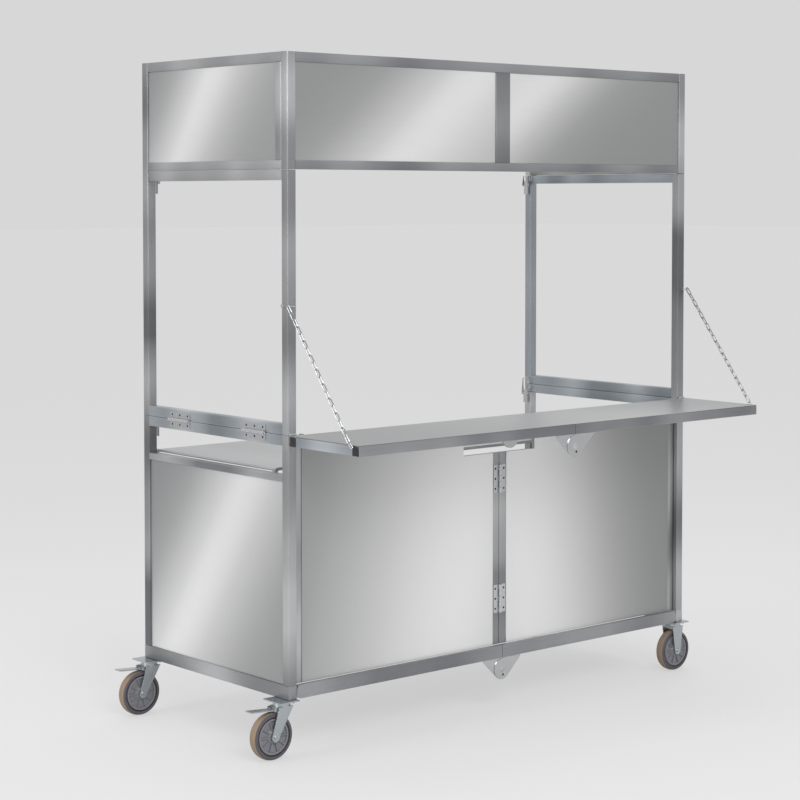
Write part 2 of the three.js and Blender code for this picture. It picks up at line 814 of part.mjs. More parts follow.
function pedalEars(x, y, top) {
  const half = pedalWidth / 2 + runningGap;
  const ear = (y0) => box(
    x + pedalPinX - earReach, x - earInner, y0, y0 + forkSheet, pedalPinZ - pedalPinRadius, top,
  );
  return [ear(y + half), ear(y - half - forkSheet)];
}

function brakePedal(x, y) {
  const pinX = x + pedalPinX;
  const half = pedalWidth / 2;
  const outline = [
    [pinX + pedalTail, pedalPinZ + pedalPlate / 2],
    [x - pedalReach, pedalPinZ + pedalRise],
    [x - pedalReach, pedalPinZ + pedalRise - pedalPlate],
    [pinX + pedalTail, pedalPinZ - pedalPlate / 2],
  ];
  return join(
    slab(outline, y - half, y + half),
    rodY(y - half, y + half, pinX, pedalPinZ, pedalPinRadius, 10),
  );
}

// The fork: a race under the plate, a crown and two cheeks down to the axle.
const crownRadius = 27;
const cheekTopHalf = 24;
const cheekFoot = 13;

function casterFork(x, y, trail) {
  const plateZ = -touchGap - casterPlate;
  const raceZ = plateZ - touchGap - raceHeight;
  const half = wheelWidth / 2 + forkGap;
  const wheelX = x - trail;
  const cheek = (y0) => join(
    slab([
      [x + cheekTopHalf, raceZ],
      [x - cheekTopHalf, raceZ],
      [wheelX - cheekFoot, axleZ],
      [wheelX, axleZ - cheekFoot],
      [wheelX + cheekFoot, axleZ],
    ], y0, y0 + forkSheet),
    rodY(y0, y0 + forkSheet, wheelX, axleZ, cheekFoot, 16),
  );
  return join(
    rodZ(raceZ - forkSheet, plateZ - touchGap, x, y, crownRadius - forkSheet, 24),
    box(x - cheekTopHalf, x + cheekTopHalf, y - half - forkSheet, y + half + forkSheet, raceZ - forkSheet, raceZ),
    cheek(y - half - forkSheet),
    cheek(y + half),
    rodY(y - half - 2 * forkSheet, y + half + 2 * forkSheet, wheelX, axleZ, axleRadius, 12),
    ...(trail ? pedalEars(x, y, raceZ) : []),
  );
}

function lathe(profile, x, y, z, steps) {
  const points = profile.map(([radius, height]) => new THREE.Vector2(radius, height));
  const geometry = new THREE.LatheGeometry([...points, points[0]], steps);
  const ring = bare(geometry.translate(x, y, z));
  return toSolid(ring).volume() > 0 ? ring : turned(ring);
}

const hubRadius = 16;
const hubRecess = 6;
const treadCrown = 2;

function wheelHub(x, y) {
  const half = wheelWidth / 2;
  const bore = axleRadius + runningGap / 2;
  const rim = wheelRadius - tyreDepth;
  const rimEdge = rim - hubRecess;
  return lathe([
    [bore, -half], [hubRadius, -half], [hubRadius + hubRecess, -half + hubRecess],
    [rimEdge, -half + hubRecess], [rimEdge, -half + treadCrown], [rim, -half + treadCrown],
    [rim, half - treadCrown], [rimEdge, half - treadCrown], [rimEdge, half - hubRecess],
    [hubRadius + hubRecess, half - hubRecess], [hubRadius, half], [bore, half],
  ], x, y, axleZ, 24);
}

function wheelTyre(x, y) {
  const half = wheelWidth / 2;
  const inner = wheelRadius - tyreDepth + touchGap;
  const shoulder = wheelRadius - treadCrown;
  return lathe([
    [inner, -half + treadCrown], [shoulder - treadCrown, -half], [shoulder, -half + treadCrown],
    [wheelRadius, -half / 2], [wheelRadius, half / 2],
    [shoulder, half - treadCrown], [shoulder - treadCrown, half], [inner, half - treadCrown],
  ], x, y, axleZ, 24);
}

// Everything at one end is made at the left and mirrored to the right.
const ends = [['left', (geometry) => geometry], ['right', toRight]];
const floorDiscs = { left: discRearPlate, right: discFrontPlate };
const inward = { left: -1, right: 1 };
const shelfRearDiscY = shelfRear - tube;

for (const [side, place] of ends) {
  const disc = floorDiscs[side];
  add(`${side}_lower_frame`, place(join(
    lowerFrame(), ...endHingeLeaves(false), ...leafEndHinges(false), latchBase(lowerFrameTop),
    floorLug(), toRear(floorLug()), flapLug(flapFront - flapSideGap), toRear(flapLug(tube)), shelfLug(),
  )), 'frameTube');
  add(`${side}_lower_panel`, place(lowerPanel()), 'sheet');
  add(`${side}_upper_frame`, place(join(
    upperFrame(), ...endHingeLeaves(true), latchBase(upperFrameTop),
    latchKeeper(upperFrameBottom + touchGap), chainUpperEye(), boltHead(),
  )), 'frameTube');
  add(`${side}_shelf_hanger`, place(shelfHanger()), 'bright');
  add(`${side}_lower_latch_lever`, place(latchLever(lowerFrameTop)), 'bright');
  add(`${side}_lower_latch_loop`, place(latchLoop(lowerFrameTop, lowerLoopRise)), 'bright');
  add(`${side}_upper_latch_lever`, place(latchLever(upperFrameTop)), 'bright');
  add(`${side}_upper_latch_loop`, place(latchLoop(upperFrameTop, upperLoopRise)), 'bright');
  add(`${side}_chain`, place(chain()), 'bright');
  add(`${side}_front_floor_rail`, place(floorRail()), 'frameTube');
  add(`${side}_rear_floor_rail`, toRear(join(
    place(floorRail()), disc(middle, discPivotZ, weld, 0),
  )), 'frameTube');
  add(`${side}_floor_disc_plate`, disc(middle, discPivotZ, -touchGap, 0), 'bright');
  add(`${side}_leaf_frame`, join(
    place(join(leafFrame(), ...leafEndHinges(true))), ...centreHinges(inward[side]),
  ), 'frameTube');
  add(`${side}_leaf_panel`, place(leafPanel()), 'sheet');
  add(`${side}_counter_flap`, place(counterFlap()), 'sheet');
  add(`${side}_shelf_frame`, join(
    place(join(shelfFrame(), shelfHingeLeaf(), chainLowerEye())),
    disc(middle, shelfDiscZ, shelfZ0 + weld, shelfRearDiscY),
  ), 'frameTube');
  add(`${side}_shelf_disc_plate`, disc(middle, shelfDiscZ, shelfZ0 - touchGap, shelfFront), 'bright');
  add(`${side}_shelf_sheet`, place(shelfSheet()), 'sheet');
  add(`canopy_${side}_front_panel`, place(canopyFrontPanel()), 'sheet');
  add(`canopy_${side}_end_panel`, place(canopyEndPanel()), 'sheet');
}

add('canopy_frame', canopyFrame(), 'frameTube');
add('canopy_roof', canopyRoof(), 'sheet');

const casters = [
  ['left_front', leftCasterX, casterY, casterTrail],
  ['left_rear', leftCasterX, stallDepth - casterY, casterTrail],
  ['right_front', rightCasterX, casterY, 0],
  ['right_rear', rightCasterX, stallDepth - casterY, 0],
];

for (const [corner, x, y, trail] of casters) {
  add(`${corner}_caster_plate`, casterTop(x, y), 'zinc');
  add(`${corner}_caster_fork`, casterFork(x, y, trail), 'zinc');
  add(`${corner}_wheel_hub`, wheelHub(x - trail, y), 'hub');
  add(`${corner}_wheel_tyre`, wheelTyre(x - trail, y), 'tyre');
  if (trail) {
    add(`${corner}_brake_pedal`, brakePedal(x, y), 'zinc');
  }
}

// The origin goes to the middle of the box that holds the stall, at floor height.
const bounds = new THREE.Box3().setFromObject(cart);
const centre = bounds.getCenter(new THREE.Vector3());
cart.position.set(-centre.x, -centre.y, casterHeight);
cart.updateMatrixWorld(true);

export default cart;
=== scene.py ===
import json
import math
import bpy
import numpy as np
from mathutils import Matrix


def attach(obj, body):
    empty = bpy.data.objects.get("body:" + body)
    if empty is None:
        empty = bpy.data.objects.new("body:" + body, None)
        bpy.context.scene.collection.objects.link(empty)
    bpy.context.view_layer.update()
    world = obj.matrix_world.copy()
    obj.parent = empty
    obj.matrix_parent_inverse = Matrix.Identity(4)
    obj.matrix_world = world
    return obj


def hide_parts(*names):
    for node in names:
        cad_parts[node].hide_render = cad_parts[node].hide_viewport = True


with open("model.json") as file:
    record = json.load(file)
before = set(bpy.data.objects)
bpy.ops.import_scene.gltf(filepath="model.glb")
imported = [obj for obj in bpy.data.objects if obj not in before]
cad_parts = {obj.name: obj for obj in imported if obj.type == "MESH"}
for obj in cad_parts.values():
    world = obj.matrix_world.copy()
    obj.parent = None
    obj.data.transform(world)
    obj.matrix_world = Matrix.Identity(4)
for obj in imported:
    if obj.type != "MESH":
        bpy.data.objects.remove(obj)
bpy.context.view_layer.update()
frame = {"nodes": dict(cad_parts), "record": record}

nodes = frame["nodes"]

# millimetres of the build frame to metres of the row frame
stallSettings = {
    "origin": (768.0, 206.0, -160.0),
    "length": 1600.0,
    "depth": 700.0,
    "tube": 28.0,
    "cornerRadius": 2.2,
}
origin = np.array(stallSettings["origin"])
length = stallSettings["length"]
depth = stallSettings["depth"]
tube = stallSettings["tube"]


def toRow(points):
    return (np.asarray(points, float) - origin) / 1000.0


def toBuild(points):
    return np.asarray(points, float) * 1000.0 + origin


# ---- colours and materials

def linear(hexText):
    # sRGB hex to linear: (c + 0.055) / 1.055 to the power 2.4, and c / 12.92 near black
    values = [int(hexText[i:i + 2], 16) / 255.0 for i in (1, 3, 5)]
    return [v / 12.92 if v <= 0.04045 else ((v + 0.055) / 1.055) ** 2.4 for v in values] + [1.0]


def addNode(tree, kind, settings=None, sockets=None, links=None):
    node = tree.nodes.new(kind)
    for key, value in (settings or {}).items():
        setattr(node, key, value)
    for key, value in (sockets or {}).items():
        node.inputs[key].default_value = value
    for key, source in (links or {}).items():
        tree.links.new(source, node.inputs[key])
    return node


def startMaterial(name):
    material = bpy.data.materials.new(name)
    material.use_nodes = True
    tree = material.node_tree
    tree.nodes.clear()
    return material, tree


def plainMaterial(name, color, metallic, roughness, coat=0.0):
    material, tree = startMaterial(name)
    shader = addNode(tree, "ShaderNodeBsdfPrincipled", sockets={
        "Base Color": linear(color), "Metallic": metallic, "Roughness": roughness, "Coat Weight": coat,
    })
    addNode(tree, "ShaderNodeOutputMaterial", links={"Surface": shader.outputs["BSDF"]})
    return material


def brushedSheenBandMaterial(name, dark, light, grain, band, roughness, bandSize, bandTurn=0.0):
    # long streaks along the grain, under wide soft bands that go from the dark to the light colour: these
    # bands are painted reflection and shade, laid at random by noise
    material, tree = startMaterial(name)
    place = addNode(tree, "ShaderNodeTexCoord")
    streakMap = addNode(tree, "ShaderNodeMapping", sockets={"Scale": grain},
                        links={"Vector": place.outputs["Object"]})
    streak = addNode(tree, "ShaderNodeTexNoise", sockets={"Scale": 1.0, "Detail": 3.0, "Roughness": 0.6},
                     links={"Vector": streakMap.outputs["Vector"]})
    bandMap = addNode(tree, "ShaderNodeMapping", sockets={"Scale": band, "Rotation": (0.0, bandTurn, 0.0)},
                      links={"Vector": place.outputs["Object"]})
    wide = addNode(tree, "ShaderNodeTexNoise", sockets={"Scale": bandSize, "Detail": 1.0, "Roughness": 0.4},
                   links={"Vector": bandMap.outputs["Vector"]})
    # the ramp from the dark to the light colour over the wide noise paints reflection and shade bands into
    # the base colour
    ramp = addNode(tree, "ShaderNodeValToRGB", links={"Fac": wide.outputs["Fac"]})
    ramp.color_ramp.elements[0].position = 0.36
    ramp.color_ramp.elements[0].color = linear(dark)
    ramp.color_ramp.elements[1].position = 0.66
    ramp.color_ramp.elements[1].color = linear(light)
    shade = addNode(tree, "ShaderNodeMapRange", sockets={
        "From Min": 0.3, "From Max": 0.7, "To Min": 0.93, "To Max": 1.05,
    }, links={"Value": streak.outputs["Fac"]})
    mix = addNode(tree, "ShaderNodeMix", {"data_type": "RGBA", "blend_type": "MULTIPLY"},
                  {"Factor": 1.0})
    tree.links.new(ramp.outputs["Color"], mix.inputs[6])
    tree.links.new(shade.outputs["Result"], mix.inputs[7])
    bump = addNode(tree, "ShaderNodeBump", sockets={"Strength": 0.04, "Distance": 0.0004},
                   links={"Height": streak.outputs["Fac"]})
    shader = addNode(tree, "ShaderNodeBsdfPrincipled", sockets={"Metallic": 0.8, "Roughness": roughness},
                     links={"Base Color": mix.outputs[2], "Normal": bump.outputs["Normal"]})
    addNode(tree, "ShaderNodeOutputMaterial", links={"Surface": shader.outputs["BSDF"]})
    return material


def paintedReflectionBandMaterial(name, direction, stops, grain, roughness=0.36):
    # painted reflection bands across a sheet: the colour follows the distance along one direction, in metres
    material, tree = startMaterial(name)
    place = addNode(tree, "ShaderNodeTexCoord")
    streakMap = addNode(tree, "ShaderNodeMapping", sockets={"Scale": grain},
                        links={"Vector": place.outputs["Object"]})
    streak = addNode(tree, "ShaderNodeTexNoise", sockets={"Scale": 1.0, "Detail": 3.0, "Roughness": 0.6},
                     links={"Vector": streakMap.outputs["Vector"]})
    along = addNode(tree, "ShaderNodeVectorMath", {"operation": "DOT_PRODUCT"},
                    links={0: place.outputs["Object"]})
    along.inputs[1].default_value = direction
    first, last = stops[0][0], stops[-1][0]
    share = addNode(tree, "ShaderNodeMapRange", sockets={"From Min": first, "From Max": last},
                    links={"Value": along.outputs["Value"]})
    # the ramp stops paint the bright reflection bands and their darker sides into the base colour
    ramp = addNode(tree, "ShaderNodeValToRGB", links={"Fac": share.outputs["Result"]})
    ramp.color_ramp.interpolation = "B_SPLINE"
    while len(ramp.color_ramp.elements) < len(stops):
        ramp.color_ramp.elements.new(0.5)
    for i, (distance, _) in enumerate(stops):
        ramp.color_ramp.elements[i].position = (distance - first) / (last - first)
    for i, (_, color) in enumerate(stops):
        ramp.color_ramp.elements[i].color = linear(color)
    shade = addNode(tree, "ShaderNodeMapRange", sockets={
        "From Min": 0.3, "From Max": 0.7, "To Min": 0.985, "To Max": 1.015,
    }, links={"Value": streak.outputs["Fac"]})
    mix = addNode(tree, "ShaderNodeMix", {"data_type": "RGBA", "blend_type": "MULTIPLY"}, {"Factor": 1.0})
    tree.links.new(ramp.outputs["Color"], mix.inputs[6])
    tree.links.new(shade.outputs["Result"], mix.inputs[7])
    shader = addNode(tree, "ShaderNodeBsdfPrincipled", sockets={"Metallic": 0.75, "Roughness": roughness},
                     links={"Base Color": mix.outputs[2]})
    addNode(tree, "ShaderNodeOutputMaterial", links={"Surface": shader.outputs["BSDF"]})
    return material


print("materials")
# brushed stainless steel: 240 grit, drawn with streaks of about 1 mm so that they show
alongX, alongY, alongZ = (14.0, 900.0, 900.0), (900.0, 14.0, 900.0), (900.0, 900.0, 14.0)
sheetUp, sheetAcross, endAcross = (700.0, 700.0, 9.0), (9.0, 700.0, 700.0), (700.0, 9.0, 700.0)
# the tube, mill, sheet, stile and strip finishes carry painted reflection and shade bands that run between
# their dark and light colours
finish = {
    "tubeX": brushedSheenBandMaterial(
        "Brushed stainless tube along X", "#85868a", "#a6a7aa", alongX, (3.0, 1.0, 1.0), 0.34, 1.2),
    "tubeY": brushedSheenBandMaterial(
        "Brushed stainless tube along Y", "#88898c", "#c6c7c9", alongY, (1.0, 3.0, 1.0), 0.34, 1.2),
    "tubeZ": brushedSheenBandMaterial(
        "Brushed stainless tube along Z", "#747577", "#c2c3c5", alongZ, (1.0, 1.0, 3.0), 0.34, 1.1),
    "mill": brushedSheenBandMaterial(
        "Mill finish stainless tube, painted shade and sheen bands", "#8f959b", "#c6ccd2", (900.0, 16.0, 900.0), (1.0, 3.5, 1.0), 0.30, 1.3),
    "sheet": brushedSheenBandMaterial(
        "Brushed stainless sheet, painted shade and sheen bands", "#c0c1c2", "#d2d3d4", sheetAcross, (1.6, 0.6, 0.45), 0.36, 1.5, 0.6),
    # painted reflection: each leaf is brightest where reflections fall and darker away from them
    "leafLeft": paintedReflectionBandMaterial("Brushed stainless left leaf sheet, painted reflection bands", (1.0, 0.0, -0.2), [
        (-0.86, "#a4a5a6"), (-0.72, "#b4b5b5"), (-0.5, "#dadada"),
        (-0.32, "#f2f2f2"), (-0.16, "#f8f8f8"), (-0.05, "#e8e8e8"),
    ], sheetUp),
    "leafRight": paintedReflectionBandMaterial("Brushed stainless right leaf sheet", (1.0, 0.0, 0.12), [
        (0.05, "#ececec"), (0.2, "#fafafa"), (0.36, "#e6e6e6"),
        (0.52, "#c0c0c0"), (0.68, "#a2a3a3"), (0.82, "#9a9b9b"),
    ], sheetUp),
    # painted reflection: a narrow bright diagonal band on each canopy sheet, darker on either side
    "canopyLeft": paintedReflectionBandMaterial("Brushed stainless left canopy sheet", (0.65, 0.0, -0.76), [
        (-1.92, "#a0a1a1"), (-1.7, "#a2a3a3"), (-1.56, "#e4e4e4"),
        (-1.48, "#fafafa"), (-1.38, "#ececec"), (-1.24, "#cacaca"),
    ], sheetAcross),
    "canopyRight": paintedReflectionBandMaterial("Brushed stainless right canopy sheet", (0.6, 0.0, -0.8), [
        (-1.44, "#ececec"), (-1.36, "#fafafa"), (-1.28, "#d6d6d6"),
        (-1.18, "#a9aaaa"), (-1.02, "#a2a3a3"), (-0.7, "#9fa0a0"),
    ], sheetAcross),
    # painted reflection: a bright diagonal band across each end sheet, darker towards both sides
    "endLow": paintedReflectionBandMaterial("Brushed stainless end sheet, painted reflection bands", (0.0, -0.83, -0.56), [
        (-0.81, "#9c9d9e"), (-0.62, "#aaabac"), (-0.48, "#eaeaea"), (-0.4, "#fcfcfc"),
        (-0.3, "#dcdcdc"), (-0.14, "#aaabab"), (0.01, "#a2a3a3"),
    ], sheetUp),
    "endHigh": paintedReflectionBandMaterial("Brushed stainless canopy end sheet", (0.0, -0.82, -0.57), [
        (-1.46, "#9c9d9e"), (-1.34, "#b2b3b3"), (-1.24, "#eaeaea"), (-1.18, "#fafafa"),
        (-1.08, "#d0d0d0"), (-0.95, "#aaabab"), (-0.8, "#a6a7a7"),
    ], endAcross),
    # painted reflection: the shelf sheet is lighter in the middle and darker towards both ends
    "shelfTop": paintedReflectionBandMaterial("Brushed stainless shelf sheet, painted reflection bands", (1.0, 0.3, 0.0), [
        (-0.95, "#a2a3a4"), (-0.4, "#b4b5b6"), (0.1, "#d0d1d1"), (0.5, "#b4b5b6"), (1.1, "#a6a7a8"),
    ], sheetAcross),
    "stile": brushedSheenBandMaterial(
        "Brushed stainless leaf stile, painted shade and sheen bands", "#8d8e90", "#c2c3c4", alongZ, (1.0, 1.0, 3.0), 0.34, 1.3),
    "strip": brushedSheenBandMaterial(
        "Brushed stainless centre strip", "#6c6d6f", "#9fa0a2", (900.0, 900.0, 12.0), (0.4, 0.4, 3.0),
        0.36, 1.6),
    "bright": plainMaterial("Bright galvanised steel", "#c9cbcd", 0.9, 0.24),
    "chain": plainMaterial("Bright zinc chain", "#b4b6b8", 0.9, 0.22),
    "zinc": plainMaterial("Blue passivated zinc plate", "#b6bcc0", 0.88, 0.26),
    "hub": plainMaterial("Grey nylon", "#7d7d83", 0.0, 0.42),
    "tyre": plainMaterial("Dark grey rubber", "#56535a", 0.0, 0.6),
    "ring": plainMaterial("Black rubber rim", "#1d1d20", 0.0, 0.5),
    "tread": plainMaterial("Tan worn tread rubber", "#97826f", 0.0, 0.78),
    "plug": plainMaterial("Black plastic plug", "#161616", 0.0, 0.45),
    "bore": plainMaterial("Shadowed bore", "#2a2b2d", 0.6, 0.6),
}


# ---- meshes

def makeObject(name, parts, finishes):
    # parts are (points in millimetres, list of faces, finish index), joined into one mesh
    points, faces, picks, start = [], [], [], 0
    for vertices, loops, pick in parts:
        points.append(vertices)
        faces.extend([[int(i) + start for i in loop] for loop in loops])
        picks.extend([pick] * len(loops))
        start += len(vertices)
    mesh = bpy.data.meshes.new(name)
    mesh.from_pydata(toRow(np.concatenate(points)).tolist(), [], faces)
    for key in finishes:
        mesh.materials.append(finish[key])
    mesh.polygons.foreach_set("material_index", picks)
    mesh.polygons.foreach_set("use_smooth", [True] * len(faces))
    mesh.update()
    mesh.set_sharp_from_angle(angle=math.radians(38))
    obj = bpy.data.objects.new(name, mesh)
    bpy.context.scene.collection.objects.link(obj)
    return obj


def ringFaces(rings, around, closed=False):
    # quads between neighbouring rings of a grid, and a face over each open end
    row = np.arange(rings if closed else rings - 1)[:, None]
    col = np.arange(around)[None, :]
    a = row * around + col
    b = row * around + (col + 1) % around
    c = ((row + 1) % rings) * around + (col + 1) % around
    d = ((row + 1) % rings) * around + col
    quads = np.stack([a, b, c, d], axis=-1).reshape(-1, 4).tolist()
    if closed:
        return quads
    first = np.arange(around)[::-1].tolist()
    last = (np.arange(around) + (rings - 1) * around).tolist()
    return quads + [first, last]


def roundedRectangle(wide, high, radius, steps=5):
    # quarter circles about four inset corners, counter-clockwise
    corner = np.repeat(np.arange(4), steps + 1)
    angle = corner * math.pi / 2 + np.tile(np.linspace(0, math.pi / 2, steps + 1), 4)
    sx = np.array([1, -1, -1, 1])[corner] * (wide / 2 - radius)
    sy = np.array([1, 1, -1, -1])[corner] * (high / 2 - radius)
    return np.stack([sx + radius * np.cos(angle), sy + radius * np.sin(angle)], axis=1)


def bar(x0, x1, y0, y1, z0, z1, axis, pick=0, radius=None, edge=0.5):
    # a rounded rectangle carried along one axis, drawn in a little at both ends
    low = np.array([x0, y0, z0], float)
    high = np.array([x1, y1, z1], float)
    b, c = [(1, 2), (2, 0), (0, 1)][axis]
    wide, tall = high[b] - low[b], high[c] - low[c]
    r = min(radius or stallSettings["cornerRadius"], wide / 2 - 0.05, tall / 2 - 0.05)
    profile = roundedRectangle(wide, tall, r)
    stations = np.array([low[axis], low[axis] + edge, high[axis] - edge, high[axis]])
    shrink = np.array([edge, 0.0, 0.0, edge])
    scaleB = 1 - 2 * shrink / wide
    scaleC = 1 - 2 * shrink / tall
    points = np.zeros((4, len(profile), 3))
    points[..., axis] = stations[:, None]
    points[..., b] = (low[b] + high[b]) / 2 + profile[None, :, 0] * scaleB[:, None]
    points[..., c] = (low[c] + high[c]) / 2 + profile[None, :, 1] * scaleC[:, None]
    return points.reshape(-1, 3), ringFaces(4, len(profile)), pick


def turnedPart(profile, centre, axis, pick=0, around=48, closed=False):
    # a profile of (distance along the axis, radius) turned about the axis. An open profile ends at
    # a radius near 0, and a closed one is a loop, so that the part is a ring
    profile = np.asarray(profile, float)
    angle = np.linspace(0, 2 * math.pi, around, endpoint=False)
    b, c = [(1, 2), (2, 0), (0, 1)][axis]
    points = np.zeros((len(profile), around, 3))
    points[..., axis] = centre[axis] + profile[:, 0][:, None]
    points[..., b] = centre[b] + profile[:, 1][:, None] * np.cos(angle)
    points[..., c] = centre[c] + profile[:, 1][:, None] * np.sin(angle)
    return points.reshape(-1, 3), ringFaces(len(profile), around, closed), pick


def facing(part, way):
    # a turned head has its faces turned round where it points along the axis
    points, faces, pick = part
    return points, [face[::-1] for face in faces] if way > 0 else faces, pick


def mirrored(part):
    # the same part at the other end: x goes to length - x, and each face is turned round
    points, faces, pick = part
    flipped = points.copy()
    flipped[:, 0] = length - flipped[:, 0]
    return flipped, [face[::-1] for face in faces], pick


def bodyOf(node):
    for body, names in frame["record"]["behaviour"]["bodies"].items():
        if node in names:
            return body
    return None


def dress(node, obj):
    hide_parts(node)
    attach(obj, bodyOf(node))


def fittings(node, boxes, finishName, bevel=0.4):
    # the CAD node's triangles that lie outside these boxes, merged, with softened edges
    source = nodes[node].data
    flat = np.zeros(len(source.vertices) * 3)
    source.vertices.foreach_get("co", flat)
    points = toBuild(flat.reshape(-1, 3))
    loops = np.zeros(len(source.loops), int)
    source.loops.foreach_get("vertex_index", loops)
    triangles = loops.reshape(-1, 3)
    middle = points[triangles].mean(axis=1)
    inside = np.zeros(len(triangles), bool)
    for x0, x1, y0, y1, z0, z1 in boxes:
        low = np.array([x0, y0, z0]) - 0.05
        high = np.array([x1, y1, z1]) + 0.05
        inside |= ((middle >= low) & (middle <= high)).all(axis=1)
    kept = triangles[~inside]
    rounded, back = np.unique(np.round(points, 3), axis=0, return_inverse=True)
    back = np.asarray(back).reshape(-1)
    faces = back[kept]
    good = (faces[:, 0] != faces[:, 1]) & (faces[:, 1] != faces[:, 2]) & (faces[:, 0] != faces[:, 2])
    faces = faces[good]
    used, small = np.unique(faces, return_inverse=True)
    part = (rounded[used], np.asarray(small).reshape(-1, 3).tolist(), 0)
    obj = makeObject(node + "_fittings", [part], [finishName])
    if bevel:
        soft = obj.modifiers.new("Soft edges", "BEVEL")
        soft.width = bevel / 1000.0
        soft.segments = 2
        soft.limit_method = "ANGLE"
        soft.angle_limit = math.radians(40)
    return obj


def sided(side, parts):
    return [mirrored(part) for part in parts] if side == "right" else parts


def sidedBoxes(side, boxes):
    if side == "left":
        return boxes
    return [(length - b[1], length - b[0]) + tuple(b[2:]) for b in boxes]


# ---- end frames

print("end frames")
endFrame = {
    "bottomRail": 38.0,
    "split": 723.0,
    "counterRail": (594.0, 613.0),
    "lowerStack": (693.5, 723.0),
    "upperStack": (723.3, 752.8),
    "upperTop": (1413.5, 1441.5),
    "screwX": -2.0,
}
railHeight, split = endFrame["bottomRail"], endFrame["split"]
upperStart, upperEnd = endFrame["upperStack"][0], endFrame["upperTop"][1]
rear0 = depth - tube
for side in ("left", "right"):
    lowerNode = side + "_lower_frame"
    lower = [
        bar(0, tube, 0, tube, railHeight, split, 2, 0),
        bar(0, tube, rear0, depth, railHeight, split, 2, 0),
        bar(0, tube, 0, depth, 0, railHeight, 1, 1),
        bar(0.3, tube - 0.3, tube, rear0, *endFrame["counterRail"], 1, 1),
        bar(0.2, tube - 0.2, tube, rear0, *endFrame["lowerStack"], 1, 2),
    ]
    dress(lowerNode, makeObject(lowerNode + "_tubes", sided(side, lower), ["tubeZ", "tubeY", "mill"]))
    boxes = sidedBoxes(side, [
        (0, tube, 0, tube, 0, split), (0, tube, rear0, depth, 0, split), (0, tube, 0, depth, 0, railHeight),
        (0, tube, 0, depth, *endFrame["counterRail"]), (0, tube, 0, depth, *endFrame["lowerStack"]),
    ])
    dress(lowerNode, fittings(lowerNode, boxes, "bright"))
    upperNode = side + "_upper_frame"
    upper = [
        bar(0, tube, 0, tube, upperStart, upperEnd, 2, 0),
        bar(0, tube, rear0, depth, upperStart, upperEnd, 2, 3 if side == "right" else 0),
        bar(0.2, tube - 0.2, tube, rear0, *endFrame["upperStack"], 1, 2),
        bar(0.2, tube - 0.2, tube, rear0, *endFrame["upperTop"], 1, 1 if side == "left" else 2),
    ]
    upperFinishes = ["tubeZ", "tubeY", "mill", "mill"]
    dress(upperNode, makeObject(upperNode + "_tubes", sided(side, upper), upperFinishes))
    boxes = sidedBoxes(side, [
        (0, tube, 0, tube, split, 1442), (0, tube, rear0, depth, split, 1442),
        (0, tube, 0, depth, *endFrame["upperStack"]), (0, tube, 0, depth, *endFrame["upperTop"]),
    ])
    dress(upperNode, fittings(upperNode, boxes, "bright"))

# ---- canopy

print("canopy")
canopy = {"bottom": 1443.0, "top": 1760.0, "bottomRail": 25.0, "topRail": 28.0, "strip": 56.0, "stile": 28.0}
c0, c1 = canopy["bottom"], canopy["top"]
sheetLow, sheetHigh = c0 + canopy["bottomRail"], c1 - canopy["topRail"]
stripHalf = canopy["strip"] / 2
canopyEnd = [
    bar(0, tube, 0, tube, c0, c1, 2, 0),
    bar(0, tube, rear0, depth, c0, c1, 2, 0),
    bar(0.3, tube - 0.3, tube, tube + canopy["stile"], sheetLow, sheetHigh, 2, 0),
    bar(0.3, tube - 0.3, tube, rear0, c0, sheetLow, 1, 1),
    bar(0.3, tube - 0.3, tube, rear0, sheetHigh, c1, 1, 1),
]
canopyParts = canopyEnd + [mirrored(part) for part in canopyEnd] + [
    bar(tube, length - tube, 0.3, tube - 0.3, c0, sheetLow, 0, 2),
    bar(tube, length - tube, 0.3, tube - 0.3, sheetHigh, c1, 0, 2),
    bar(tube, length - tube, rear0, depth - 0.3, sheetHigh, c1, 0, 2),
    bar(length / 2 - stripHalf, length / 2 + stripHalf, 0.6, tube - 0.6, sheetLow, sheetHigh, 2, 3, 1.2),
]
canopyObj = makeObject("canopy_tubes", canopyParts, ["tubeZ", "tubeY", "tubeX", "strip"])
dress("canopy_frame", canopyObj)
dress("canopy_frame", fittings("canopy_frame", [
    (0, length, 0, tube + canopy["stile"], c0, c1), (0, tube, 0, depth, c0, c1),
    (length - tube, length, 0, depth, c0, c1), (0, length, rear0, depth, sheetHigh, c1),
], "bright"))

# ---- leaves and shelf

print("leaves and shelf")
